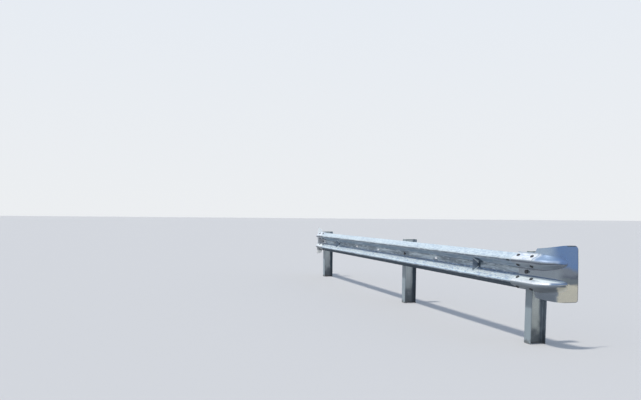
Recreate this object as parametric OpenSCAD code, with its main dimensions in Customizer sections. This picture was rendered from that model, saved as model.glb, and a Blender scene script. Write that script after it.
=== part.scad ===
// Highway guardrail section: one corrugated steel beam bolted straight onto three
// driven I-section posts, with a flared end section at either end, the near one
// curving back, and two small trapezoid plates standing in the beam's valley.
// X runs along the beam, the traffic side faces -Y, Z is up from ground level.
// The origin is the middle of the middle post's foot.

/* [Beam] */
// Height of the beam, edge to edge
beam_h = 312; // [300:1:330]
// Depth of the beam, from the valley's back to the crests
beam_depth = 83; // [76:1:90]
// Distance between the two crests
crest_gap = 194; // [188:1:202]
// Thickness of the beam's sheet
sheet_t = 2.7; // [2.0:0.1:3.6]
// Inside radius of the rolled bends
bend_r = 24; // [20:1:27]
// Angle of the flanks to the beam's plane
flank_angle = 61; // [57:1:62]
// Radius of the bend before each edge
lip_r = 8; // [6:1:10]
// Width of the straight lip at each edge
lip_len = 2; // [1:1:5]
// Height of the beam's upper edge above ground
beam_top = 787; // [700:1:860]

/* [Bolt slots] */
// Distance between the bolt slots along the valley
slot_pitch = 952.5; // [900:0.5:1000]
// Length of a valley slot
slot_len = 63.5; // [50:0.5:70]
// Width of a valley slot
slot_w = 19; // [17:1:22]
// Length of a splice slot
splice_slot_len = 29; // [26:1:34]
// Width of a splice slot
splice_slot_w = 23; // [20:1:25]
// Distance between the two rows of splice slots
splice_gap = 216; // [180:1:240]
// Distance from the splice slots to the end of the sheet
splice_edge = 51; // [35:1:70]
// Space left between two lapped sheets
lap_gap = 0.2; // [0.1:0.1:0.5]

/* [Posts] */
// Slots from the middle post to the near post
near_slots = 3; // [1:1:4]
// Slots from the middle post to the far post
far_slots = 4; // [1:1:4]
// How far the middle post stands short of its slot
middle_post_drift = 6; // [0:1:10]
// How far the outer posts stand past their slots
outer_post_drift = 8; // [0:1:10]
// How far the posts stand above the beam
post_above = 22; // [15:1:40]
// Depth of a post, front flange to rear flange
post_depth = 150; // [140:1:160]
// Width of a post's flanges
flange_w = 100; // [96:1:110]
// Thickness of a post's flanges
flange_t = 5.5; // [4:0.1:8]
// Thickness of a post's web
web_t = 4.3; // [3:0.1:7]
// Radius between web and flange
root_r = 6.4; // [4:0.1:10]
// Distance between the two bolt holes in a flange
hole_gauge = 57.2; // [50:0.2:62]
// Diameter of a flange hole
hole_d = 19; // [17:0.5:21]

/* [End sections] */
// How far the end section's upper edge stands above the beam's
lap_rise = 14; // [0:1:14]
// Where the edges start to spread, from the splice
open_start = 95; // [80:1:105]
// Length over which the edges spread
open_len = 42; // [36:1:60]
// Height of the sheet just past the spread
open_h = 420; // [390:1:440]
// Height of the end plate
plate_full_h = 478; // [450:1:500]
// Straight length between the lap and the curve
curve_gap = 11; // [5:1:40]
// Radius of the near end section's curve
curve_r = 130; // [110:1:150]
// Angle that the near end section turns through
near_curve_angle = 90; // [75:1:90]
// Angle that the far end section turns through
far_curve_angle = 6; // [5:1:90]
// Length of the flat plate past the curve
tail_len = 146; // [130:1:190]
// Distance from the end of the curve to the corrugation noses
nose_past = 41; // [30:1:60]
// Distance between the two noses
nose_gap = 176; // [160:1:194]
// Radius of the plate's upper corner
upper_corner_r = 36; // [20:1:50]
// Radius of the plate's lower corner
lower_corner_r = 22; // [15:1:40]
// Lean of the end plate to the vertical, in degrees
plate_lean = 3; // [0:0.5:4]
// How far the end plate's middle bows out past its upper and lower edges
plate_bow = 4; // [0:1:6]

/* [Valley plates] */
// Slots from the middle post to the near plate
near_plate_slot = 2; // [1:1:4]
// Slots from the middle post to the far plate
far_plate_slot = 3; // [1:1:4]
// Thickness of a plate
plate_t = 2; // [1.5:0.1:3]
// Distance from the bolt to the standing plate
plate_offset = 54; // [45:1:60]
// Length of the foot behind the bolt
foot_tail = 24; // [18:1:30]
// Width of the foot
foot_w = 42; // [30:1:44]
// How far the plate stands out of the valley
plate_reach = 68; // [55:1:72]
// Height of the plate's outer edge
plate_h = 130; // [110:1:136]
// Height of the plate's inner edge
plate_inner_h = 54; // [46:1:58]
// Inside radius of the fold
fold_r = 3; // [2:0.5:5]
// Diameter of the foot's bolt hole
foot_hole_d = 17; // [15:0.5:19]

/* [Hidden] */
$fn = 48;

// Segments in each bend of the rolled sheet
VALLEY_STEPS = 4;
CREST_STEPS = 8;
LIP_STEPS = 2;
// Angle of the lips to the beam's plane
lip_angle = 30;
// Length added to a cutter so that it passes right through
CUT = 1;

// Places of the posts and slots along X
post_front = -post_depth / 2;
beam_mid = beam_top - beam_h / 2;
post_h = beam_top + post_above;
function slot_x(k) = middle_post_drift + k * slot_pitch;
near_x = slot_x(near_slots) + outer_post_drift;
far_x = slot_x(-far_slots) + outer_post_drift;
lap_half = splice_gap / 2 + splice_edge;

// Rolled profile: half of the sheet's middle line, from the valley to the edge
mid_r = bend_r + sheet_t / 2;
flank_len = (beam_depth - sheet_t - 2 * mid_r * (1 - cos(flank_angle))) / sin(flank_angle);
valley_half = crest_gap / 2 - 2 * mid_r * sin(flank_angle) - flank_len * cos(flank_angle);
outer_rise = (beam_h - crest_gap) / 2 - sheet_t / 2 * sin(lip_angle);
outer_len = (outer_rise - mid_r * sin(flank_angle) - lip_r * (sin(flank_angle) - sin(lip_angle))
             - lip_len * cos(lip_angle)) / cos(flank_angle);

// Chords of an arc as [length, direction] steps
function arc_steps(r, a0, a1, n) =
    [for (i = [0:n - 1]) [2 * r * sin(abs(a1 - a0) / n / 2), a0 + (a1 - a0) * (i + 0.5) / n]];

steps = concat([[valley_half, 0]],
               arc_steps(mid_r, 0, flank_angle, VALLEY_STEPS),
               [[flank_len, flank_angle]],
               arc_steps(mid_r, flank_angle, -flank_angle, CREST_STEPS),
               [[outer_len, -flank_angle]],
               arc_steps(lip_r, -flank_angle, -lip_angle, LIP_STEPS),
               [[lip_len, -lip_angle]]);
STEP_COUNT = len(steps);

// Middle line of the whole profile as [forward, up] points, lower edge to upper edge
half_line =
    [for (i = 0, w = sheet_t / 2, z = 0; i <= STEP_COUNT;
          w = w + (i < STEP_COUNT ? steps[i][0] * sin(steps[i][1]) : 0),
          z = z + (i < STEP_COUNT ? steps[i][0] * cos(steps[i][1]) : 0),
          i = i + 1) [w, z]];
mid_line = concat([for (i = [STEP_COUNT:-1:1]) [half_line[i][0], -half_line[i][1]]],
                  [for (i = [1:STEP_COUNT]) half_line[i]]);
LINE_COUNT = len(mid_line);

// A line of points moved forward by d along its normals, mitred at each bend
function heading(line, i) =
    let (k = max(0, min(LINE_COUNT - 2, i)), v = line[k + 1] - line[k]) atan2(v[0], v[1]);
function offset_line(line, d) =
    [for (i = [0:LINE_COUNT - 1])
        let (a = heading(line, i - 1), b = heading(line, i), e = d / cos((b - a) / 2))
        line[i] + e * [cos((a + b) / 2), -sin((a + b) / 2)]];
function reversed(list) = [for (i = [len(list) - 1:-1:0]) list[i]];

// Middle of a flank's straight, as [forward, up, direction]
function flank_mid(i) = concat((half_line[i] + half_line[i + 1]) / 2, [steps[i][1]]);
inner_flank = flank_mid(1 + VALLEY_STEPS);
outer_flank = flank_mid(2 + VALLEY_STEPS + CREST_STEPS);

// A slot's outline, long along X
module slot_outline(length, width) {
    square([length - width, width], center = true);
    for (side = [-1, 1])
        translate([side * (length - width) / 2, 0])
            circle(d = width);
}

// Cutter for a slot in the valley, centred at x
module valley_slot(x) {
    translate([x, post_front - beam_depth / 2, beam_mid])
        rotate([90, 0, 0])
            linear_extrude(beam_depth + 2 * CUT, center = true)
                slot_outline(slot_len, slot_w);
}

// Cutters for one row of four splice slots, square to the flanks
module splice_row(x) {
    for (flank = [inner_flank, outer_flank], up = [-1, 1])
        translate([x, post_front - flank[0], beam_mid + up * flank[1]])
            rotate([90 - up * flank[2], 0, 0])
                linear_extrude(6 * sheet_t, center = true)
                    slot_outline(splice_slot_len, splice_slot_w);
}

// Both rows of splice slots and the valley slot between them
module splice_slots(x) {
    valley_slot(x);
    for (side = [-1, 1])
        splice_row(x + side * splice_gap / 2);
}

// The straight corrugated beam with its slots
module beam() {
    x0 = slot_x(-far_slots) - lap_half;
    x1 = slot_x(near_slots) + lap_half;
    outline = concat(offset_line(mid_line, -sheet_t / 2), reversed(offset_line(mid_line, sheet_t / 2)));
    difference() {
        translate([x0, post_front, beam_mid])
            rotate([90, 0, 90])
                linear_extrude(x1 - x0)
                    polygon([for (p = outline) [-p[0], p[1]]]);
        for (k = [-far_slots + 1:near_slots - 1])
            valley_slot(slot_x(k));
        splice_slots(slot_x(-far_slots));
        splice_slots(slot_x(near_slots));
    }
}

// End section: the sheet starts as the beam, its edges spread, its two
// corrugations run out in round noses, and it curves back into a flat plate.
// Both are the same sheet, the far one turned through a smaller angle.
// u is the distance along the sheet from the splice.
curve_start = lap_half + curve_gap;
curve_len = curve_r * near_curve_angle * PI / 180;
tail_start = curve_start + curve_len;
nose_at = tail_start + nose_past;
end_u = tail_start + tail_len;
foot_z = half_line[STEP_COUNT - LIP_STEPS - 1][1];
edge_z = half_line[STEP_COUNT][1];
function ramp(u, a, b) = let (t = min(1, max(0, (u - a) / (b - a)))) t * t * (3 - 2 * t);
// Share of the corrugations' depth that is left at u
function ridge_share(u) =
    let (t = min(1, max(0, (u - lap_half) / (nose_at - lap_half))))
    (1 - 0.25 * ramp(t, 0, 1)) * sqrt(1 - t * t * t);
// Height from the middle to the edge at u, on the upper or the lower side
function edge_at(u, upper) =
    let (start = edge_z + (upper ? lap_rise : 0))
    start + (open_h / 2 - start) * ramp(u, open_start, open_start + open_len)
          + (plate_full_h - open_h) / 2 * ramp(u, open_start + open_len / 2, nose_at);
// Height that a rounded corner of radius r takes off the edge at u
function corner_cut(u, r) =
    let (v = max(0, u - end_u + r))
    r - sqrt(max(0, r * r - v * v));
// Height at u of what stands at z on the beam: each corrugation narrows towards its nose
function spread(z, u, upper) =
    let (crest = crest_gap / 2,
         share = ridge_share(u),
         moved = crest + (nose_gap - crest_gap) / 2 * ramp(u, lap_half, nose_at),
         inner = 0.2 + 0.8 * pow(share, 1.5),
         outer = 0.2 + 0.8 * share,
         foot = moved + (foot_z - crest) * outer,
         edge = edge_at(u, upper) - corner_cut(u, upper ? upper_corner_r : lower_corner_r))
    z < crest ? moved + (z - crest) * inner
  : z < foot_z ? moved + (z - crest) * outer
  : foot + (edge - foot) * (z - foot_z) / (edge_z - foot_z);
// Middle line of the sheet at u
function line_at(u) =
    [for (p = mid_line)
        [sheet_t / 2 + (p[0] - sheet_t / 2) * ridge_share(u),
         sign(p[1]) * spread(abs(p[1]), u, p[1] > 0)]];
// Angle turned at u, and the place of the sheet's back there as [x, y]
function turned(u, angle) = angle * min(1, max(0, (u - curve_start) / curve_len));
function back_at(u, angle) =
    let (a = turned(u, angle), r = curve_len * 180 / (PI * angle), tail = max(0, u - tail_start))
    [min(u, curve_start) + r * sin(a) + tail * cos(angle),
     r * (1 - cos(a)) + tail * sin(angle)];
// How far the leaning, bowed plate lies back at u, at the height z from its middle
function laid_back(u, z) =
    ramp(u, curve_start, nose_at) * (tan(plate_lean) * z + plate_bow * pow(2 * z / plate_full_h, 2));
// Points of one side of the sheet at u
function ring(u, d, angle) =
    let (a = turned(u, angle), b = back_at(u, angle))
    [for (p = offset_line(line_at(u), d))
        let (forward = p[0] - laid_back(u, p[1]))
        [b[0] + forward * sin(a), b[1] - forward * cos(a), p[1]]];

OPEN_STEPS = 7;
CURVE_STEPS = 10;
NOSE_STEPS = 5;
CORNER_STEPS = 5;
corner_r = max(upper_corner_r, lower_corner_r);
corner_start = end_u - corner_r;
stations = concat([-lap_half],
    [for (i = [0:OPEN_STEPS - 1]) open_start + (curve_start - open_start) * i / OPEN_STEPS],
    [for (i = [0:CURVE_STEPS - 1]) curve_start + curve_len * i / CURVE_STEPS],
    [for (i = [0:NOSE_STEPS]) tail_start + nose_past * sin(90 * i / NOSE_STEPS)],
    [for (i = [0:CORNER_STEPS]) corner_start + corner_r * sin(90 * i / CORNER_STEPS)]);

// The sheet as one closed surface, in the splice's own frame
module end_sheet(angle) {
    d0 = sheet_t / 2 + lap_gap;
    rings = [for (u = stations) concat(ring(u, d0, angle), reversed(ring(u, d0 + sheet_t, angle)))];
    n = 2 * LINE_COUNT;
    last = len(stations) - 1;
    walls = [for (r = [0:last - 1], i = [0:n - 1], half = [0, 1])
        let (a = r * n + i, b = r * n + (i + 1) % n)
        half == 0 ? [a, b, b + n] : [a, b + n, a + n]];
    function cap(r) = [for (i = [0:n / 2 - 2], half = [0, 1])
        let (a = r * n + i, b = a + 1, c = r * n + n - 2 - i, d = c + 1)
        half == 0 ? [a, d, b] : [b, d, c]];
    flipped = [for (f = cap(last)) [f[2], f[1], f[0]]];
    polyhedron([for (r = rings, p = r) p], concat(walls, cap(0), flipped), convexity = 10);
}

module end_section(angle) {
    difference() {
        translate([0, post_front, beam_mid])
            end_sheet(angle);
        splice_slots(0);
    }
}

// Driven post: an I-section with two bolt holes in each flange
module post() {
    difference() {
        linear_extrude(post_h)
            difference() {
                square([flange_w, post_depth], center = true);
                for (side = [-1, 1])
                    translate([side * (web_t / 2 + flange_w / 2), 0])
                        root_pocket(flange_w, post_depth - 2 * flange_t);
            }
        for (side = [-1, 1])
            translate([side * hole_gauge / 2, 0, beam_mid])
                rotate([90, 0, 0])
                    cylinder(d = hole_d, h = post_depth + 2 * CUT, center = true);
    }
}

// Space beside the web, with rounded inner corners
module root_pocket(width, depth) {
    square([width - 2 * root_r, depth], center = true);
    square([width, depth - 2 * root_r], center = true);
    for (x = [-1, 1], y = [-1, 1])
        translate([x * (width / 2 - root_r), y * (depth / 2 - root_r)])
            circle(r = root_r);
}

// Plate folded from one strip: the foot lies in the valley under its bolt, and
// the trapezoid stands out square to it. The bolt is at x = 0, the foot's back at y = 0.
module valley_plate() {
    face = plate_offset + plate_t / 2;
    foot_half = min(foot_w / 2, valley_half);
    root = fold_r + plate_t;
    corner = plate_h / 10;
    difference() {
        translate([0, 0, -foot_half])
            linear_extrude(2 * foot_half)
                folded_strip(face);
        rotate([90, 0, 0])
            cylinder(d = foot_hole_d, h = 4 * plate_t, center = true);
    }
    translate([face, 0, 0])
        rotate([0, -90, 0])
            linear_extrude(plate_t)
                polygon([[-plate_inner_h / 2, -root], [plate_inner_h / 2, -root],
                         [plate_h / 2, -plate_reach + corner], [plate_h / 2 - corner, -plate_reach],
                         [-plate_h / 2 + corner, -plate_reach], [-plate_h / 2, -plate_reach + corner]]);
}

// The foot and its fold, seen along Z
module folded_strip(face) {
    bend = fold_r + plate_t;
    translate([-foot_tail, -plate_t])
        square([foot_tail + face - bend, plate_t]);
    intersection() {
        translate([face - bend, -bend])
            square(bend);
        difference() {
            translate([face - bend, -bend])
                circle(r = bend);
            translate([face - bend, -bend])
                circle(r = fold_r);
        }
    }
}

// Valley plate of the slot k, with its foot against the valley's front
module valley_plate_at(k) {
    translate([slot_x(k), post_front - sheet_t, beam_mid])
        valley_plate();
}

module near_post() { color("#93a0a5") translate([near_x, 0, 0]) post(); }
module middle_post() { color("#93a0a5") post(); }
module far_post() { color("#93a0a5") translate([far_x, 0, 0]) post(); }
module rail_beam() { color("#c9d2d8") beam(); }
module near_end_section() {
    color("#b3bfc9")
        translate([slot_x(near_slots), 0, 0])
            end_section(near_curve_angle);
}
module far_end_section() {
    color("#b3bfc9")
        translate([slot_x(-far_slots), 0, 0])
            mirror([1, 0, 0])
                end_section(far_curve_angle);
}
module near_valley_plate() { color("#5f6b75") valley_plate_at(near_plate_slot); }
module far_valley_plate() { color("#5f6b75") valley_plate_at(-far_plate_slot); }

near_post();
middle_post();
far_post();
rail_beam();
near_end_section();
far_end_section();
near_valley_plate();
far_valley_plate();
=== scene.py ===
"""Highway guardrail section: galvanised finishes, bolts, floor, lights and camera."""
import math

import bmesh
import bpy
from mathutils import Matrix, Vector


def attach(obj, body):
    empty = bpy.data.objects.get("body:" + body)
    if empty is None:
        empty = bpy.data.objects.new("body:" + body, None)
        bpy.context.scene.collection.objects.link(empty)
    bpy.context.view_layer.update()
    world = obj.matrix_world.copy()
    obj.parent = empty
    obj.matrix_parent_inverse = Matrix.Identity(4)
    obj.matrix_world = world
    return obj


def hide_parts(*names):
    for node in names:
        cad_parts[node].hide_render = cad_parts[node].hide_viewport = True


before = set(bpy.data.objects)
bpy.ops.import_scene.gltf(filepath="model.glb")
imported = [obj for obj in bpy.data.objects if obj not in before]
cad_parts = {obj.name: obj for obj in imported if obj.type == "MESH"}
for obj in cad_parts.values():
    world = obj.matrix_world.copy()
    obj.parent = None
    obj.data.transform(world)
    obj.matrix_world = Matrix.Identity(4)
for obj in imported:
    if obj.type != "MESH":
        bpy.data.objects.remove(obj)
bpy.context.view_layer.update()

# Camera, as fitted to the slots, posts and ends in the photograph. Its lens and sensor are in
# millimetres, the rest is in metres
CAMERA_PLACE = (8.1465, -3.398, 1.112)
CAMERA_YAW = math.radians(15.28)
CAMERA_PITCH = math.radians(5.07)
CAMERA_ROLL = math.radians(0.46)
CAMERA_LENS = 38.68
CAMERA_SENSOR = 36
CAMERA_SHIFT_Y = 0.118
CAMERA_REACH = 200

# Sizes of the solids, in metres
POST_BOLT_X = {"near": 2.8429, "middle": 0.0286, "far": -3.8246}
PLATE_BOLT_X = {"near": 1.911, "far": -2.8515}
SPLICE_X = {"near": 2.8635, "far": -3.804}
SPLICE_ROW = 0.108
BEAM_MID = 0.631
BEAM_BACK = -0.075
SHEET = 0.0027
LAP_GAP = 0.0002
FLANGE = 0.0055
PLATE_X = 1.966
PLATE_FOOT = 0.002
# Middle of the beam, and the distance from it to the splices, where the end sections start
BEAM_CENTRE = (SPLICE_X["near"] + SPLICE_X["far"]) / 2
SPLICE_REACH = (SPLICE_X["near"] - SPLICE_X["far"]) / 2
# Flanks of the corrugations: [name, how far forward of the beam's back and how far above or
# below its middle the bolts go through, which way they lean]
FLANK_ANGLE = math.radians(61)
FLANKS = (("inner", 0.0415, 0.0598, -1), ("outer", 0.0402, 0.1349, 1))
# A valley plate's slanted edge climbs 38 mm over 50 mm: its direction, and how far out it lies
EDGE_ACROSS = -0.796
EDGE_OUT = -0.605
EDGE_REACH = 0.02855

# Places on the end sections, in metres: a place round the curve is its depth and this share
# of its distance past the splice, and an outward place is its depth past this one
CURVE_SHARE = 0.78
OUTWARD_FROM = 0.09
# Where the far end's own look starts, and where the painted highlight on its outer rim does
FAR_SIDE_X = (-3.8, -3.9)
FAR_RIM_X = (-4.24, -4.28)
# Middle of the near plate's rounded lower corner, and how far from it the rim darkens
CORNER_Y = 0.179
CORNER_Z = 0.414
CORNER_RIM = (0.0165, 0.0195)
# The upper edge of the painted ground reflection low on the near plate, which falls and gets softer
# outward
GROUND_REFLECTION_TOP = 0.547
GROUND_REFLECTION_FALL = 0.08
GROUND_REFLECTION_SOFT = 0.008
GROUND_REFLECTION_SOFTER = 0.2
# How much lower the near plate's painted blue sky reflection reaches outward
BLUE_FALL = 0.38

# Bolts, in metres
ROUND_SIDES = 32
HEAD_R = 0.0165
HEAD_H = 0.011
HEAD_ROUNDED = 0.86
HEAD_PROFILE = 0.56
HEAD_SEGMENTS = 6
NECK_R = 0.0098
NUT_R = 0.0172
NUT_H = 0.0155
NUT_SIDES = 6
NUT_BEVEL = 0.0018
WASHER_R = 0.022
WASHER_T = 0.004
WASHER_BEVEL = 0.0006
BEVEL_SEGMENTS = 2
SHANK_R = 0.0078
SHANK_SIDES = 24
THREADS = 3
THREAD_STEP = 0.0011
THREAD_ROOT = 0.87
THREAD_POINT = 0.8
BOLT_SMOOTH = math.radians(35)
# Tests for an edge or face that is picked out: how near a height, and how level
SAME_PLACE = 1e-5
FLAT = 0.9

# Smooth copies of the rolled sheets
SMOOTH_ANGLE = math.radians(38)
MERGE_WITHIN = 2e-5
FACE_WEIGHT = 100

# Colours by weathering and by painted light and shade, from which way a face looks: 0 is a shaded,
# dirty underside, 0.5 an upright face, 1 a sunlit, rain-cleaned top; the pale and dark lines just
# under the crests are painted light and shade too
RAIL_SHADES = ((0.0, (0.36, 0.48, 0.6)), (0.015, (0.36, 0.48, 0.6)), (0.03, (0.6, 0.7, 0.82)),
               (0.09, (0.6, 0.7, 0.82)), (0.16, (0.24, 0.305, 0.38)), (0.34, (0.24, 0.305, 0.38)),
               (0.46, (0.2, 0.245, 0.28)), (0.6, (0.82, 0.92, 0.96)), (0.9, (0.8, 0.91, 0.94)))
# The lower half: darker painted shade on undersides, sunlit tops with a painted blue sky reflection
LOWER_SHADES = ((0.0, (0.2, 0.24, 0.29)), (0.3, (0.26, 0.3, 0.345)), (0.46, (0.22, 0.265, 0.295)),
                (0.62, (0.68, 0.83, 0.96)), (0.8, (0.79, 0.95, 1.0)), (0.95, (0.91, 1.0, 1.0)))
# The valley's lower bend: a painted highlight line, a painted shadow line, then the sunlit top
BEND_SHADES = ((0.0, (0.22, 0.26, 0.29)), (0.5, (0.23, 0.27, 0.3)), (0.55, (0.44, 0.52, 0.57)),
               (0.59, (0.1, 0.155, 0.26)), (0.955, (0.1, 0.155, 0.26)), (0.985, (0.92, 1.0, 1.0)))
# Under the end sections' ridges, painted shade: paler where a face looks down, with a dark line
# just under the crests
END_UNDER_SHADES = ((0.0, (0.42, 0.47, 0.53)), (0.12, (0.42, 0.47, 0.53)),
                    (0.2, (0.14, 0.16, 0.2)), (0.36, (0.14, 0.16, 0.2)))

# Veils, each laid over a colour by a pattern: [none at, full at, share at full, tint]
RAIL_CLOUDS = (0.35, 0.7, 0.22, (0.36, 0.41, 0.48))
RAIL_RUNS = (0.52, 0.7, 0.3, (0.3, 0.33, 0.38))
RAIL_MOTTLE = (0.5, 0.62, 0.4, (0.4, 0.46, 0.52))
# Painted highlight streaks along the valley and bends
RAIL_HIGHLIGHT_STREAKS = (0.55, 0.61, 0.85, (0.6, 0.67, 0.72))
RAIL_LOW_PATCHES = (0.52, 0.58, 0.8, (0.36, 0.49, 0.68))
RAIL_HIGH_PATCHES = (0.51, 0.58, 0.6, (0.42, 0.53, 0.64))
RAIL_SPANGLES = (0.4, 1, 0.12, (0.3, 0.34, 0.4))
RAIL_SPECKS = (0.66, 0.76, 0.35, (0.2, 0.19, 0.18))
END_CLOUDS = (0.35, 0.7, 0.16, (0.3, 0.35, 0.42))
END_PATCHES = (0.48, 0.6, 0.55, (0.46, 0.58, 0.78))
END_SPANGLES = (0.3, 1, 0.05, (0.3, 0.34, 0.4))
END_SPECKS = (0.68, 0.78, 0.3, (0.2, 0.19, 0.18))
POST_SPANGLES = (0.2, 1, 0.1, (0.25, 0.27, 0.29))
POST_RUNS = (0.5, 0.68, 0.3, (0.26, 0.28, 0.3))
POST_SPECKS = (0.64, 0.76, 0.35, (0.14, 0.13, 0.12))
# Laid on by height
# Painted shade low on the posts' webs and rear flanges
POST_LOW = (0.24, 0.05, 0.85, (0.09, 0.11, 0.13))
POST_FOOT = (0.035, 0.0, 0.7, (0.12, 0.11, 0.1))
FAR_FOOT = (0.468, 0.448, 0.9, (0.82, 0.83, 0.8))

# Painted shadows of bolt heads and of a lap's edge: [x, z, half length, half height]
RAIL_SPOT_SHADOWS = ((0.05, 0.63, 0.022, 0.011), (2.645, 0.722, 0.032, 0.007))
END_SPOT_SHADOW = (2.826, 0.628, 0.026, 0.017)
SPOT_SHADOW_EDGE = (1.4, 0.7)
SPOT_SHADOW_SHARE = 0.9

# Plain colours, some with the share of them that is laid on
# Colour of the painted spot shadows
SPOT_SHADOW = (0.015, 0.02, 0.03)
# Painted shade on the lower ridge's underside
RAIL_UNDERSIDE_SHADE = (0.07, 0.105, 0.145)
# Painted shadow of the near valley plate on the beam
PLATE_SHADOW = (0.03, 0.055, 0.09)
PLATE_SHADOW_SHARE = 0.85
# END_TOP, END_RIDGE, END_CREST and END_TIP are painted light: sunlit tops, blue sky reflection on
# the ridges and noses, a highlight along the upper crest
END_TOP = (0.97, 1.0, 1.0)
END_RIDGE = (0.25, 0.365, 0.53)
END_CREST = (0.44, 0.54, 0.7)
END_CREASE = (0.42, 0.5, 0.58)
END_TIP = (0.2, 0.28, 0.42)
END_FRONT = (0.28, 0.32, 0.355)
# END_MARGIN to END_LOW are painted reflections on the near end's upright sheet: blue sky along the
# upper margin and up the plate, darker bands of surroundings low on the plate
END_MARGIN = (0.37, 0.475, 0.6)
END_TURNED = (0.14, 0.235, 0.435)
END_MIDDLE = (0.2, 0.225, 0.265)
END_DARK = (0.125, 0.145, 0.18)
END_LOW = (0.17, 0.2, 0.22)
END_RIM = (0.1, 0.12, 0.14)
# Painted shade low on the end sections' front, darker toward the bottom
END_LOW_SHADE = (0.26, 0.3, 0.335)
END_LOWER_SHADE = (0.17, 0.2, 0.235)
END_LOW_SHADE_SHARE = 0.85
# Painted reflection of the pale ground, low on the near plate and under the lower ridge
END_GROUND_REFLECTION = (0.72, 0.68, 0.54)
END_GROUND_REFLECTION_SHARE = 0.95
END_GROUND_REFLECTION_UNDER = (1.0, 0.96, 0.8)
FAR_FACE = (0.18, 0.2, 0.235)
# Painted highlight on the far end's top and rim, and painted shade low on it
FAR_HIGHLIGHT = (0.9, 0.97, 1.0)
FAR_LOW = (0.12, 0.14, 0.155)
POST_FRONT = (0.37, 0.45, 0.49)
# Painted shadow of the beam on the upper front flange
POST_FRONT_SHADOWED = (0.26, 0.32, 0.36)
POST_WEB = (0.6, 0.64, 0.6)
# Painted light on the upper part of the web
POST_WEB_TOP = (0.95, 1.0, 0.94)
POST_TOP = (0.22, 0.28, 0.27)
# Painted shade on the rear flanges; for the middle and far posts also on the web, and darker on the
# rear flange below the beam
POST_REAR = (0.28, 0.335, 0.39)
POST_REAR_SHARE = 0.5
POST_REAR_DARK = (0.08, 0.12, 0.155)
# Painted shade at a valley plate's root, and painted highlight on its slanted edges
PLATE_ROOT_SHADE = (0.04, 0.07, 0.11)
PLATE_EDGE_HIGHLIGHT = (0.95, 1.0, 1.0)

# How the zinc shines: two numbers are the ends of a range
RAIL_SHINE = 0.15
RAIL_ROUGH = (0.62, 0.36)
RAIL_METAL = (0.0, 0.3)
END_ROUGH = (0.44, 0.14)
END_METAL = (0.25, 0.9)
POST_ROUGH = (0.3, 0.42)
POST_METAL = 0.2
FITTING_ROUGH = (0.44, 0.58)

# Sockets of a mix node that mixes colours
MIX_INPUTS = (0, 6, 7)
MIX_OUTPUT = 2

# Floor and lights
FLOOR_SIZE = 900
FLOOR_SEEN = (0.6, 0.59, 0.575)
FLOOR_BOUNCE = (0.15, 0.15, 0.15)
FLOOR_ROUGHNESS = 0.95
FLOOR_SHINE = 0.1
SUN_RISE = math.radians(67)
SUN_LEVEL = 2.2
SUN_SPREAD = math.radians(5)
SUN_COLOUR = (1.0, 0.96, 0.9)
SKY_LEVEL = 1.0
SKY_STOPS = ((0.0, (0.84, 0.86, 0.88)), (0.38, (0.78, 0.83, 0.9)), (0.75, (0.27, 0.38, 0.58)))


def make_camera():
    """The photograph's point of view."""
    data = bpy.data.cameras.new("view_camera")
    data.lens = CAMERA_LENS
    data.sensor_width = CAMERA_SENSOR
    data.shift_y = CAMERA_SHIFT_Y
    data.clip_end = CAMERA_REACH
    camera = bpy.data.objects.new("view_camera", data)
    bpy.context.scene.collection.objects.link(camera)
    level = math.cos(CAMERA_PITCH)
    ahead = Vector((-math.cos(CAMERA_YAW) * level, math.sin(CAMERA_YAW) * level,
                    -math.sin(CAMERA_PITCH)))
    right = ahead.cross(Vector((0, 0, 1))).normalized()
    up = right.cross(ahead)
    upright, lean = math.cos(CAMERA_ROLL), math.sin(CAMERA_ROLL)
    right, up = upright * right + lean * up, upright * up - lean * right
    axes = Matrix((right, up, -ahead)).transposed().to_4x4()
    camera.matrix_world = Matrix.Translation(CAMERA_PLACE) @ axes
    bpy.context.scene.camera = camera


def fill_ramp(ramp, stops):
    """Set a new colour ramp to a few (place, colour) stops."""
    for k, (place, colour) in enumerate(stops):
        element = ramp.elements[k] if k < 2 else ramp.elements.new(place)
        element.position = place
        element.color = (*colour, 1)


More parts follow.
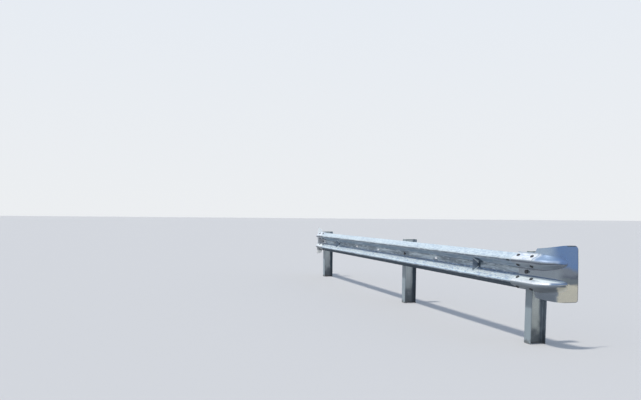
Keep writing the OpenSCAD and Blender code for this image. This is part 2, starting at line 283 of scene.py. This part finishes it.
class Nodes:
    """A material's node tree, filled one node at a time."""

    def __init__(self, name):
        self.material = bpy.data.materials.new(name)
        self.material.use_nodes = True
        self.tree = self.material.node_tree
        self.shader = self.tree.nodes["Principled BSDF"]
        coords = self.add("ShaderNodeTexCoord")
        self.place = coords.outputs["Object"]
        self.facing = coords.outputs["Normal"]

    def add(self, kind, **settings):
        node = self.tree.nodes.new(kind)
        for key, value in settings.items():
            setattr(node, key, value)
        return node

    def feed(self, value, socket):
        """Give a socket a number, a colour or another node's output."""
        if isinstance(value, (int, float)):
            socket.default_value = value
        elif isinstance(value, tuple):
            socket.default_value = (*value, 1)
        else:
            self.tree.links.new(value, socket)

    def part_of(self, vector, axis):
        node = self.add("ShaderNodeSeparateXYZ")
        self.feed(vector, node.inputs["Vector"])
        return node.outputs[axis]

    def at(self, axis):
        """One coordinate of the place, in metres."""
        return self.part_of(self.place, axis)

    def faces(self, axis):
        """How squarely the surface faces along an axis, from -1 to 1."""
        return self.part_of(self.facing, axis)

    def stretched(self, scale, shift=(0, 0, 0)):
        """The place, stretched along each axis and then shifted."""
        node = self.add("ShaderNodeMapping")
        node.inputs["Scale"].default_value = scale
        node.inputs["Location"].default_value = shift
        self.feed(self.place, node.inputs["Vector"])
        return node.outputs["Vector"]

    def noise(self, scale, detail, rough=0.55, stretch=(1, 1, 1), shift=(0, 0, 0)):
        """A cloudy pattern from 0 to 1."""
        node = self.add("ShaderNodeTexNoise")
        node.inputs["Scale"].default_value = scale
        node.inputs["Detail"].default_value = detail
        node.inputs["Roughness"].default_value = rough
        self.feed(self.stretched(stretch, shift), node.inputs["Vector"])
        return node.outputs["Fac"]

    def cells(self, scale):
        """Flat cells, each with a value of its own."""
        node = self.add("ShaderNodeTexVoronoi")
        node.inputs["Scale"].default_value = scale
        self.feed(self.stretched((1, 1, 1)), node.inputs["Vector"])
        grey = self.add("ShaderNodeSeparateColor")
        self.feed(node.outputs["Color"], grey.inputs["Color"])
        return grey.outputs["Red"]

    def maths(self, operation, a, b):
        node = self.add("ShaderNodeMath", operation=operation)
        self.feed(a, node.inputs[0])
        self.feed(b, node.inputs[1])
        return node.outputs[0]

    def plus(self, a, b):
        return self.maths("ADD", a, b)

    def minus(self, a, b):
        return self.maths("SUBTRACT", a, b)

    def most(self, a, b):
        return self.maths("MAXIMUM", a, b)

    def times(self, product, *factors):
        for factor in factors:
            product = self.maths("MULTIPLY", product, factor)
        return product

    def band(self, value, low, high, to_low=0.0, to_high=1.0):
        """A smooth step from to_low, where the value is low, to to_high, where it is high."""
        node = self.add("ShaderNodeMapRange", interpolation_type="SMOOTHSTEP")
        numbers = {"From Min": low, "From Max": high, "To Min": to_low, "To Max": to_high}
        for key, number in numbers.items():
            node.inputs[key].default_value = number
        self.feed(value, node.inputs["Value"])
        return node.outputs["Result"]

    def window(self, value, low, full_from, full_to, high):
        """1 from full_from to full_to, fading to 0 at low and at high."""
        return self.times(self.band(value, low, full_from), self.band(value, high, full_to))

    def spread(self, noise, reach):
        """A noise turned into a number between -reach and reach."""
        return self.band(noise, 0.3, 0.7, -reach, reach)

    def shades(self, value, stops):
        """A colour for each value, from a few (place, colour) stops over 0 to 1."""
        node = self.add("ShaderNodeValToRGB")
        fill_ramp(node.color_ramp, stops)
        self.feed(value, node.inputs["Fac"])
        return node.outputs["Color"]

    def mix(self, share, a, b):
        """Colour a, with a share of it given over to colour b."""
        node = self.add("ShaderNodeMix", data_type="RGBA")
        for k, value in zip(MIX_INPUTS, (share, a, b)):
            self.feed(value, node.inputs[k])
        return node.outputs[MIX_OUTPUT]

    def veil(self, colour, pattern, none_at, full_at, share, tint, where=None):
        """Lay a tint over a colour: none where the pattern is none_at, its share at full_at."""
        cover = self.band(pattern, none_at, full_at, 0, share)
        if where is not None:
            cover = self.times(where, cover)
        return self.mix(cover, colour, tint)

    def bump(self, value, strength, distance, before=None):
        """A surface that rises with the value, on top of the bump before it."""
        node = self.add("ShaderNodeBump")
        node.inputs["Strength"].default_value = strength
        node.inputs["Distance"].default_value = distance
        self.feed(value, node.inputs["Height"])
        if before is not None:
            self.feed(before, node.inputs["Normal"])
        return node.outputs["Normal"]

    def front_side(self):
        """1 on the front side, 0 on the rear side, also round the near end's curve."""
        return self.band(self.minus(self.faces("X"), self.faces("Y")), -0.1, 0.1)

    def spot(self, centre_x, centre_z, half_x, half_z):
        """A soft oval on the beam's side."""
        across = self.maths("DIVIDE", self.minus(self.at("X"), centre_x), half_x)
        rise = self.maths("DIVIDE", self.minus(self.at("Z"), centre_z), half_z)
        reach = self.plus(self.times(across, across), self.times(rise, rise))
        return self.band(reach, *SPOT_SHADOW_EDGE)

    def wear_and_light_by_facing(self, unevenness):
        """Weathering and painted light, by which way a face looks: 0 a shaded, dirty underside, 0.5
        upright, 1 a sunlit, rain-cleaned top.
        """
        patches = self.noise(1, 4, 0.6, stretch=(2.2, 14, 18))
        rise = self.plus(self.faces("Z"), self.band(patches, 0.25, 0.75, -unevenness, unevenness))
        return self.band(rise, -1, 1)

    def finish(self, colour, roughness, normal, metallic):
        """Join the four to the shader, and give back the material."""
        self.feed(colour, self.shader.inputs["Base Color"])
        self.feed(roughness, self.shader.inputs["Roughness"])
        self.feed(normal, self.shader.inputs["Normal"])
        self.feed(metallic, self.shader.inputs["Metallic"])
        return self.material


def shade_by_plate(n, height):
    """Painted shadow of the near valley plate on the beam beside it: wide above, narrow below."""
    past_plate = n.minus(n.at("X"), PLATE_X)
    started = n.band(past_plate, 0, 0.006)
    wide = n.times(n.band(past_plate, 0.12, 0.07), n.window(height, 0.65, 0.66, 0.695, 0.71))
    narrow = n.times(n.band(past_plate, 0.045, 0.03), n.window(height, 0.6, 0.606, 0.66, 0.67))
    return n.times(started, n.most(wide, narrow), PLATE_SHADOW_SHARE)


def rail_zinc():
    """The beam, with painted light and shade: sunlit mottled tops, grey valley, shaded undersides,
    painted highlight and shadow lines along the bends, painted shadows beside the near valley
    plate, a bolt head and a lap's edge.
    """
    n = Nodes("rail_zinc")
    wear_and_light = n.wear_and_light_by_facing(0.12)
    depth = n.at("Y")
    height = n.at("Z")
    in_front = n.front_side()
    spangles = n.cells(95)
    clouds = n.noise(3.1, 5, 0.6, stretch=(0.5, 1, 1))
    mottle = n.noise(1, 4, 0.72, stretch=(30, 65, 65))
    runs = n.noise(1, 6, 0.62, stretch=(1.1, 55, 55))
    highlight_streaks = n.noise(1, 2, 0.5, stretch=(8, 60, 70), shift=(3, 1, 2))
    patches = n.noise(1, 4, 0.65, stretch=(14, 60, 60), shift=(1, 5, 2))
    specks = n.noise(60, 3, 0.7)

    lower_half = n.band(height, 0.64, 0.62)
    in_bend = n.times(n.band(depth, -0.103, -0.094), n.band(height, 0.62, 0.61))
    below_tops = n.band(wear_and_light, 0.62, 0.5)
    low_top = n.times(n.band(height, 0.62, 0.6), n.band(wear_and_light, 0.55, 0.7))
    high_top = n.times(n.band(height, 0.64, 0.68), n.band(wear_and_light, 0.6, 0.75))
    # Painted shade on the lower ridge's underside
    low_underside = n.times(n.band(wear_and_light, 0.4, 0.04), n.band(height, 0.62, 0.56))
    underside_shade = n.times(low_underside, n.band(mottle, 0.4, 0.7, 1, 0.8))
    # Painted shadows of the middle post's bolt head and of the lap's edge
    spot_shadows = n.most(*(n.spot(*dab) for dab in RAIL_SPOT_SHADOWS))

    colour = n.mix(lower_half, n.shades(wear_and_light, RAIL_SHADES), n.shades(wear_and_light, LOWER_SHADES))
    colour = n.mix(in_bend, colour, n.shades(wear_and_light, BEND_SHADES))
    colour = n.veil(colour, clouds, *RAIL_CLOUDS)
    colour = n.veil(colour, runs, *RAIL_RUNS)
    colour = n.veil(colour, mottle, *RAIL_MOTTLE)
    # Painted highlight streaks along the valley and bends
    colour = n.veil(colour, highlight_streaks, *RAIL_HIGHLIGHT_STREAKS, where=below_tops)
    colour = n.veil(colour, patches, *RAIL_LOW_PATCHES, where=low_top)
    colour = n.veil(colour, patches, *RAIL_HIGH_PATCHES, where=high_top)
    colour = n.veil(colour, spangles, *RAIL_SPANGLES)
    # Painted shadow of the near valley plate, on the front only
    colour = n.mix(n.times(shade_by_plate(n, height), in_front), colour, PLATE_SHADOW)
    colour = n.mix(n.times(spot_shadows, in_front, SPOT_SHADOW_SHARE), colour, SPOT_SHADOW)
    colour = n.mix(underside_shade, colour, RAIL_UNDERSIDE_SHADE)
    colour = n.veil(colour, specks, *RAIL_SPECKS)

    roughness = n.plus(n.band(wear_and_light, 0.2, 0.9, *RAIL_ROUGH), n.band(spangles, 0, 1, -0.03, 0.03))
    roughness = n.plus(roughness, n.band(runs, 0.5, 0.68, 0, 0.08))
    normal = n.bump(specks, strength=0.06, distance=0.0004)
    normal = n.bump(mottle, strength=0.08, distance=0.0004, before=normal)
    normal = n.bump(runs, strength=0.2, distance=0.001, before=normal)
    n.shader.inputs["Specular IOR Level"].default_value = RAIL_SHINE
    return n.finish(colour, roughness, normal, n.band(wear_and_light, 0.2, 0.8, *RAIL_METAL))


class EndPlaces:
    """Coordinates and areas of the end sections, which their colours follow."""

    def __init__(self, n):
        from_middle = n.maths("ABSOLUTE", n.minus(n.at("X"), BEAM_CENTRE), 0)
        self.depth = n.at("Y")
        self.height = n.at("Z")
        self.past_splice = n.minus(from_middle, SPLICE_REACH)
        self.round_curve = n.plus(self.depth, n.times(self.past_splice, CURVE_SHARE))
        self.outward = n.minus(n.most(self.depth, OUTWARD_FROM), OUTWARD_FROM)
        self.ragged = n.spread(n.noise(14, 4), 0.01)
        self.rough_depth = n.plus(self.depth, self.ragged)
        self.rough_height = n.plus(self.height, self.ragged)
        self.upper_half = n.band(self.height, 0.6, 0.66)
        self.lower_half = n.band(self.height, 0.66, 0.6)
        self.short_of_nose = n.band(self.round_curve, 0.34, 0.32)
        self.far_side = n.band(n.at("X"), *FAR_SIDE_X)
        self.near_side = n.minus(1, self.far_side)
        self.in_front = n.front_side()


def near_upright(n, end):
    """Upright sheet of the near end: a grey front with a painted sky reflection along its upper
    margin, and a plate painted with reflections, in dark bands low down and turning blue upward.
    """
    above_valley = n.band(end.height, 0.65, 0.7)
    turned_below = n.band(end.round_curve, 0.22, 0.33)
    turned_above = n.band(end.rough_depth, -0.085, 0.03)
    turned = n.mix(above_valley, turned_below, turned_above)
    in_margin = n.band(end.height, 0.72, 0.77)
    dark_start = n.band(end.rough_height, 0.585, 0.6)
    dark_end = n.band(end.rough_height, 0.6, 0.64)
    aslant = n.plus(end.rough_height, n.times(end.outward, BLUE_FALL))
    # Painted blue sky reflection on the plate's upper part
    blue = n.band(aslant, 0.665, 0.715)

    front = n.mix(in_margin, END_FRONT, END_MARGIN)
    plate = n.mix(dark_start, END_LOW, END_DARK)
    plate = n.mix(dark_end, plate, END_MIDDLE)
    plate = n.mix(blue, plate, END_TURNED)
    return n.mix(n.times(turned, end.near_side), front, plate)


def far_upright(n, end):
    """Upright sheet of the far end: a painted highlight at its top and rim, painted shade low down,
    pale at its foot; plain behind.
    """
    outer_rim = n.times(n.band(n.at("X"), *FAR_RIM_X), n.band(end.height, 0.74, 0.6))
    upper_margin = n.band(end.height, 0.715, 0.735)
    low = n.band(end.height, 0.56, 0.52)
    face = n.mix(n.most(upper_margin, outer_rim), FAR_FACE, FAR_HIGHLIGHT)
    face = n.mix(low, face, FAR_LOW)
    face = n.veil(face, end.rough_height, *FAR_FOOT)
    return n.mix(end.in_front, END_FRONT, face)


def ground_reflection(n, end):
    """Where a painted reflection of the ground lies low on the front of the near end's plate, with
    a ragged upper edge.
    """
    above = n.minus(n.plus(end.rough_height, n.times(end.outward, GROUND_REFLECTION_FALL)), GROUND_REFLECTION_TOP)
    softness = n.plus(n.times(end.outward, GROUND_REFLECTION_SOFTER), GROUND_REFLECTION_SOFT)
    low = n.band(n.maths("DIVIDE", above, softness), 1, -1)
    looks_down = n.band(n.faces("Z"), 0.2, 0.05)
    below_nose = n.times(looks_down, n.band(end.height, 0.523, 0.531), end.short_of_nose)
    turned = n.band(n.plus(end.round_curve, end.ragged), 0.235, 0.262)
    return n.times(low, n.minus(1, below_nose), turned, end.near_side, end.in_front)


def end_top(n, end, wear_and_light):
    """Upward faces: painted sunlit white and patchy, and on the near end a painted blue sky
    reflection toward the noses, with a painted highlight along the upper crest.
    """
    upper_fade = n.most(n.band(end.past_splice, 0.22, 0.16), end.lower_half)
    lower_fade = n.most(n.band(end.round_curve, 0.195, 0.155), end.upper_half)
    sunlit_top = n.most(n.times(upper_fade, lower_fade), end.far_side)
    ridge = n.veil(END_RIDGE, end.round_curve, 0.17, 0.28, 0.85, END_TURNED)
    crest = n.times(n.band(end.height, 0.752, 0.738), n.band(end.round_curve, 0.28, 0.23))
    flank = n.mix(end.upper_half, END_TIP, n.mix(crest, ridge, END_CREST))
    patches = n.noise(1, 4, 0.65, stretch=(16, 50, 50), shift=(2, 5, 2))
    top = n.mix(sunlit_top, flank, n.veil(END_TOP, patches, *END_PATCHES))
    in_bend = n.window(end.height, 0.557, 0.566, 0.61, 0.62)
    top = n.mix(in_bend, top, n.shades(wear_and_light, BEND_SHADES))
    crease = n.window(end.past_splice, 0.155, 0.162, 0.172, 0.178)
    crease = n.times(crease, n.band(end.height, 0.62, 0.66))
    return n.mix(crease, top, END_CREASE)


def dark_rim(n, end):
    """The rounded lower corner and the upper edge of the near end's plate."""
    past_side = n.most(n.minus(end.depth, CORNER_Y), 0)
    past_foot = n.most(n.minus(CORNER_Z, end.height), 0)
    squares = n.plus(n.times(past_side, past_side), n.times(past_foot, past_foot))
    corner = n.band(n.maths("POWER", squares, 0.5), *CORNER_RIM)
    upper_edge = n.times(n.band(end.height, 0.858, 0.862),
                         n.band(end.round_curve, 0.31, 0.335, 0, 0.85))
    return n.most(corner, upper_edge)


def end_zinc():
    """The end sections: painted sunlit tops, an upright sheet painted blue-grey with reflections,
    and painted ground reflection and painted shade low down.
    """
    n = Nodes("end_zinc")
    end = EndPlaces(n)
    wear_and_light = n.wear_and_light_by_facing(0.1)
    spangles = n.cells(80)
    clouds = n.noise(4.5, 5, 0.6)
    waves = n.noise(3.2, 2, 0.4, stretch=(1, 1, 1.6))
    specks = n.noise(45, 3, 0.7)

    # Painted reflection of the pale ground, low on the near plate and under the lower ridge
    ground_reflected = ground_reflection(n, end)
    ground_reflected_under = n.times(ground_reflected, n.band(wear_and_light, 0.48, 0.3))
    # Painted shade low on the front, darker toward the bottom
    low_shade = n.times(n.band(end.height, 0.56, 0.52), n.band(end.rough_depth, 0.012, -0.015))
    lower_shade = n.band(end.height, 0.49, 0.45)
    # Painted shade under the ridges
    under_ridge = n.times(n.band(wear_and_light, 0.48, 0.4), n.band(end.height, 0.58, 0.62))
    upward = n.band(wear_and_light, 0.58, 0.8)

    low_shade_colour = n.mix(lower_shade, END_LOW_SHADE, END_LOWER_SHADE)
    upright = n.mix(n.times(low_shade, END_LOW_SHADE_SHARE), near_upright(n, end), low_shade_colour)
    upright = n.mix(n.times(ground_reflected, END_GROUND_REFLECTION_SHARE), upright, END_GROUND_REFLECTION)
    upright = n.mix(end.far_side, upright, far_upright(n, end))
    colour = n.mix(under_ridge, upright, n.shades(wear_and_light, END_UNDER_SHADES))
    colour = n.mix(ground_reflected_under, colour, END_GROUND_REFLECTION_UNDER)
    colour = n.mix(upward, colour, end_top(n, end, wear_and_light))
    colour = n.veil(colour, clouds, *END_CLOUDS)
    colour = n.veil(colour, spangles, *END_SPANGLES)
    # Painted shadow of the near post's bolt head
    colour = n.mix(n.times(n.spot(*END_SPOT_SHADOW), end.in_front), colour, SPOT_SHADOW)
    colour = n.mix(dark_rim(n, end), colour, END_RIM)
    colour = n.veil(colour, specks, *END_SPECKS)

    lower_nose = n.times(n.window(end.height, 0.5, 0.515, 0.55, 0.56), end.short_of_nose)
    polish = n.times(n.window(wear_and_light, 0.3, 0.48, 0.56, 0.75), end.near_side, n.minus(1, lower_nose))
    roughness = n.plus(n.band(polish, 0, 1, *END_ROUGH), n.band(clouds, 0.4, 0.7, 0, 0.07))
    normal = n.bump(specks, strength=0.05, distance=0.0003)
    normal = n.bump(waves, strength=0.25, distance=0.006, before=normal)
    return n.finish(colour, roughness, normal, n.band(polish, 0, 1, *END_METAL))


def post_zinc():
    """The posts: grey, with upright runs; painted light on the web's upper part, painted shadow of
    the beam on the front flange, painted shade low down and on the rear, and darker at the foot.
    """
    n = Nodes("post_zinc")
    runs = n.noise(1, 6, 0.62, stretch=(40, 40, 1.6))
    clouds = n.noise(5, 5, 0.6)
    spangles = n.cells(120)
    specks = n.noise(70, 3, 0.7)
    depth = n.at("Y")
    height = n.at("Z")
    ragged = n.spread(clouds, 0.02)
    ragged_low = n.plus(height, n.spread(n.noise(9, 5), 0.06))
    ragged_foot = n.plus(height, n.spread(n.noise(22, 5), 0.02))

    behind_flange = n.band(depth, -0.0705, -0.0685)
    toward_rear = n.band(n.plus(depth, n.times(ragged, 0.4)), 0.025, 0.05)
    toward_top = n.band(n.plus(height, ragged), 0.2, 0.42)
    at_top = n.band(height, 0.795, 0.806)
    # Painted shadow of the beam on the front flange
    beam_shadow = n.window(height, 0.305, 0.33, 0.6, 0.7)
    # The middle and far posts get painted shade on the web and rear flange
    inner_post = n.band(n.at("X"), 2.0, 1.0)
    shaded = n.times(inner_post, n.band(height, 0.75, 0.7), n.band(n.faces("Y"), 0.6, 0.4))

    front = n.mix(beam_shadow, POST_FRONT, POST_FRONT_SHADOWED)
    web = n.mix(toward_top, POST_WEB, POST_WEB_TOP)
    web = n.mix(n.times(inner_post, POST_REAR_SHARE), web, POST_REAR)
    rear = n.mix(shaded, POST_REAR, POST_REAR_DARK)
    colour = n.mix(behind_flange, front, n.mix(toward_rear, web, rear))
    colour = n.mix(at_top, colour, POST_TOP)
    colour = n.veil(colour, spangles, *POST_SPANGLES)
    colour = n.veil(colour, runs, *POST_RUNS)
    # Painted shade low on the web and rear flange
    colour = n.veil(colour, ragged_low, *POST_LOW, where=behind_flange)
    colour = n.veil(colour, ragged_foot, *POST_FOOT)
    colour = n.veil(colour, specks, *POST_SPECKS)

    roughness = n.plus(n.band(runs, 0.4, 0.7, *POST_ROUGH), n.spread(clouds, 0.03))
    normal = n.bump(specks, strength=0.08, distance=0.0004)
    normal = n.bump(runs, strength=0.15, distance=0.001, before=normal)
    return n.finish(colour, roughness, normal, POST_METAL)


def fitting_zinc(name, light, dark, dab, stain_share, metallic, is_plate=False):
    """Small parts: worn, stained zinc with fine specks; a plate has painted highlights on its
    slanted edges and painted shade at its root.
    """
    n = Nodes(name)
    clouds = n.noise(22, 5, 0.65)
    specks = n.noise(160, 3, 0.7)
    blots = n.noise(35, 5, 0.7)
    colour = n.mix(n.band(clouds, 0.35, 0.65), dark, light)
    colour = n.veil(colour, blots, 0.55, 0.75, stain_share, dab)
    colour = n.veil(colour, specks, 0.6, 0.75, 0.4, dark)
    if is_plate:
        depth = n.at("Y")
        rise = n.maths("ABSOLUTE", n.minus(n.at("Z"), BEAM_MID), 0)
        from_edge = n.plus(n.times(rise, EDGE_ACROSS), n.times(depth, EDGE_OUT))
        from_edge = n.minus(from_edge, EDGE_REACH)
        # Painted shade at the plate's root, and painted highlights along its slanted edges
        root_shade = n.band(depth, -0.092, -0.084)
        edge_highlight = n.times(n.band(from_edge, 0.012, 0.008), n.band(depth, -0.076, -0.084))
        colour = n.mix(root_shade, colour, PLATE_ROOT_SHADE)
        colour = n.mix(edge_highlight, colour, PLATE_EDGE_HIGHLIGHT)
    roughness = n.band(clouds, 0.3, 0.7, *FITTING_ROUGH)
    normal = n.bump(specks, strength=0.12, distance=0.0003)
    return n.finish(colour, roughness, normal, metallic)


def select_only(*pieces):
    bpy.ops.object.select_all(action="DESELECT")
    for piece in pieces:
        piece.select_set(True)
    bpy.context.view_layer.objects.active = pieces[0]


def smooth_copy(node, look):
    """A merged, smoothly shaded copy of a rolled sheet, standing for its faceted solid."""
    copy = bpy.data.objects.new(node + "_sheet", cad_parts[node].data.copy())
    bpy.context.scene.collection.objects.link(copy)
    select_only(copy)
    bpy.ops.object.mode_set(mode="EDIT")
    bpy.ops.mesh.select_all(action="SELECT")
    bpy.ops.mesh.remove_doubles(threshold=MERGE_WITHIN)
    bpy.ops.object.mode_set(mode="OBJECT")
    bpy.ops.object.shade_smooth_by_angle(angle=SMOOTH_ANGLE)
    weighted = copy.modifiers.new("weighted", "WEIGHTED_NORMAL")
    weighted.keep_sharp = True
    weighted.weight = FACE_WEIGHT
    bpy.ops.object.modifier_apply(modifier=weighted.name)
    copy.data.materials.clear()
    copy.data.materials.append(look)
    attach(copy, "root")
    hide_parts(node)


def pick(kind, test):
    """In edit mode, select only the faces or edges that pass the test."""
    bpy.ops.mesh.select_mode(type=kind)
    bpy.ops.mesh.select_all(action="DESELECT")
    mesh = bmesh.from_edit_mesh(bpy.context.object.data)
    for part in mesh.faces if kind == "FACE" else mesh.edges:
        part.select_set(test(part))
    mesh.select_flush_mode()
    bmesh.update_edit_mesh(bpy.context.object.data)


def cap(z):
    """A test for the flat face at this height."""
    return lambda face: (abs(face.calc_center_median().z - z) < SAME_PLACE
                         and abs(face.normal.z) > FLAT)


def rims(*heights):
    """A test for the edges that lie at one of these heights."""
    return lambda edge: any(all(abs(v.co.z - z) < SAME_PLACE for v in edge.verts)
                            for z in heights)


def draw_out(by, scale=1.0):
    """Extrude what is selected along Z, then scale it about the Z axis."""
    bpy.ops.mesh.extrude_region_move(TRANSFORM_OT_translate={"value": (0, 0, by)})
    if scale != 1.0:
        bpy.ops.transform.resize(value=(scale, scale, 1), center_override=(0, 0, 0))


def add_round(sides, radius, low_z, high_z):
    """A cylinder about the Z axis, left in edit mode."""
    bpy.ops.object.select_all(action="DESELECT")
    bpy.ops.mesh.primitive_cylinder_add(vertices=sides, radius=radius, depth=high_z - low_z,
                                        location=(0, 0, (low_z + high_z) / 2))
    bpy.ops.object.transform_apply(location=True)
    bpy.ops.object.mode_set(mode="EDIT")
    return bpy.context.object


def make_bolt(grip, washer_t=0.0):
    """Button head on z = 0 along +Z, neck, washer and nut under z = -grip, threaded end."""
    head = add_round(ROUND_SIDES, HEAD_R, 0, HEAD_H)
    pick("EDGE", rims(HEAD_H))
    bpy.ops.mesh.bevel(offset=HEAD_H * HEAD_ROUNDED, segments=HEAD_SEGMENTS, profile=HEAD_PROFILE)
    pick("FACE", cap(0))
    draw_out(0, NECK_R / HEAD_R)
    draw_out(-grip)
    bpy.ops.object.mode_set(mode="OBJECT")
    parts = [head]

    bottom = -grip - NUT_H
    nut = add_round(NUT_SIDES, NUT_R, bottom, -grip)
    pick("EDGE", rims(bottom, -grip))
    bpy.ops.mesh.bevel(offset=NUT_BEVEL, segments=BEVEL_SEGMENTS)
    bpy.ops.object.mode_set(mode="OBJECT")
    parts.append(nut)

    end = add_round(SHANK_SIDES, SHANK_R, bottom, bottom + THREAD_STEP)
    pick("FACE", cap(bottom))
    for _ in range(THREADS):
        draw_out(-THREAD_STEP, THREAD_ROOT)
        draw_out(-THREAD_STEP, 1 / THREAD_ROOT)
    draw_out(-THREAD_STEP, THREAD_POINT)
    bpy.ops.object.mode_set(mode="OBJECT")
    parts.append(end)

    if washer_t:
        washer = add_round(ROUND_SIDES, WASHER_R, -grip, -grip + washer_t)
        pick("EDGE", rims(-grip, -grip + washer_t))
        bpy.ops.mesh.bevel(offset=WASHER_BEVEL, segments=BEVEL_SEGMENTS)
        bpy.ops.object.mode_set(mode="OBJECT")
        parts.append(washer)

    select_only(*parts)
    bpy.ops.object.join()
    bpy.ops.object.shade_smooth_by_angle(angle=BOLT_SMOOTH)
    return bpy.context.object


def place_bolt(model, name, place, outward, look):
    """A copy of the model bolt with the seat of its head at place, pointing outward."""
    bolt = model.copy()
    bolt.data = model.data.copy()
    bolt.name = name
    bpy.context.scene.collection.objects.link(bolt)
    turn = Vector(outward).to_track_quat("Z", "X").to_matrix().to_4x4()
    bolt.matrix_world = Matrix.Translation(place) @ turn
    select_only(bolt)
    bpy.ops.object.transform_apply(location=True, rotation=True, scale=True)
    bolt.data.materials.clear()
    bolt.data.materials.append(look)
    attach(bolt, "root")


def add_bolts(look):
    """The bolts of the posts, the valley plates and the laps."""
    forward = (0, -1, 0)
    valley_front = BEAM_BACK - SHEET
    lap_front = valley_front - LAP_GAP - SHEET
    washer_back = BEAM_BACK + FLANGE + WASHER_T
    lapped_post_bolt = make_bolt(washer_back - lap_front, WASHER_T)
    single_post_bolt = make_bolt(washer_back - valley_front, WASHER_T)
    splice_bolt = make_bolt(2 * SHEET + LAP_GAP)
    plate_bolt = make_bolt(PLATE_FOOT + SHEET + WASHER_T, WASHER_T)

    for side, x in POST_BOLT_X.items():
        model, y = lapped_post_bolt, lap_front
        if side == "middle":
            model, y = single_post_bolt, valley_front
        place_bolt(model, side + "_post_bolt", (x, y, BEAM_MID), forward, look)
    for side, x in PLATE_BOLT_X.items():
        place = (x, valley_front - PLATE_FOOT, BEAM_MID)
        place_bolt(plate_bolt, side + "_plate_bolt", place, forward, look)

    # From the middle of the beam's sheet to the outer face of the sheet lapped over it
    over_lap = 1.5 * SHEET + LAP_GAP
    for side, splice_x in SPLICE_X.items():
        for row, dx in (("a", -SPLICE_ROW), ("b", SPLICE_ROW)):
            for flank, forth, rise, lean in FLANKS:
                for half, up in (("upper", 1), ("lower", -1)):
                    out = Vector((0, -math.cos(FLANK_ANGLE), lean * up * math.sin(FLANK_ANGLE)))
                    place = Vector((splice_x + dx, BEAM_BACK - forth, BEAM_MID + up * rise))
                    place += out * over_lap
                    name = f"{side}_splice_bolt_{half}_{flank}_{row}"
                    place_bolt(splice_bolt, name, place, out, look)
    for model in (lapped_post_bolt, single_post_bolt, splice_bolt, plate_bolt):
        bpy.data.objects.remove(model)


def add_floor():
    """A floor that looks pale, and throws little light back up."""
    bpy.ops.object.select_all(action="DESELECT")
    bpy.ops.mesh.primitive_plane_add(size=FLOOR_SIZE, location=(0, 0, 0))
    floor = bpy.context.object
    floor.name = "floor"
    n = Nodes("floor_look")
    ray = n.add("ShaderNodeLightPath")
    seen = n.most(ray.outputs["Is Camera Ray"], ray.outputs["Is Glossy Ray"])
    seen = n.most(seen, ray.outputs["Is Transmission Ray"])
    n.feed(n.mix(seen, FLOOR_BOUNCE, FLOOR_SEEN), n.shader.inputs["Base Color"])
    n.shader.inputs["Roughness"].default_value = FLOOR_ROUGHNESS
    n.shader.inputs["Specular IOR Level"].default_value = FLOOR_SHINE
    floor.data.materials.append(n.material)


def add_sun():
    """A high sun from the front."""
    sun = bpy.data.lights.new("sun", "SUN")
    sun.energy = SUN_LEVEL
    sun.color = SUN_COLOUR
    sun.angle = SUN_SPREAD
    sun_object = bpy.data.objects.new("sun", sun)
    bpy.context.scene.collection.objects.link(sun_object)
    toward_sun = Vector((0, -math.cos(SUN_RISE), math.sin(SUN_RISE)))
    sun_object.rotation_euler = toward_sun.to_track_quat("Z", "Y").to_euler()


def add_sky():
    """A plain sky, pale at the horizon and blue overhead."""
    world = bpy.data.worlds.new("studio")
    bpy.context.scene.world = world
    world.use_nodes = True
    nodes, links = world.node_tree.nodes, world.node_tree.links
    coords = nodes.new("ShaderNodeTexCoord")
    split = nodes.new("ShaderNodeSeparateXYZ")
    shade = nodes.new("ShaderNodeValToRGB")
    fill_ramp(shade.color_ramp, SKY_STOPS)
    links.new(coords.outputs["Generated"], split.inputs["Vector"])
    links.new(split.outputs["Z"], shade.inputs["Fac"])
    links.new(shade.outputs["Color"], nodes["Background"].inputs["Color"])
    nodes["Background"].inputs["Strength"].default_value = SKY_LEVEL


make_camera()

rail_look = rail_zinc()
end_look = end_zinc()
post_look = post_zinc()
plate_look = fitting_zinc("fitting_zinc", light=(0.36, 0.42, 0.5), dark=(0.22, 0.27, 0.33),
                          dab=(0.45, 0.48, 0.5), stain_share=0.4, metallic=0.4, is_plate=True)
bolt_look = fitting_zinc("bolt_zinc", light=(0.09, 0.095, 0.105), dark=(0.035, 0.038, 0.045),
                         dab=(0.13, 0.075, 0.045), stain_share=0.5, metallic=0.25)

smooth_copy("rail_beam", rail_look)
smooth_copy("near_end_section", end_look)
smooth_copy("far_end_section", end_look)
for node, look in (("near_post", post_look), ("middle_post", post_look), ("far_post", post_look),
                   ("near_valley_plate", plate_look), ("far_valley_plate", plate_look)):
    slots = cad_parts[node].data.materials
    for k in range(len(slots)):
        slots[k] = look

add_bolts(bolt_look)
add_floor()
add_sun()
add_sky()
bpy.context.scene.view_settings.view_transform = "Standard"
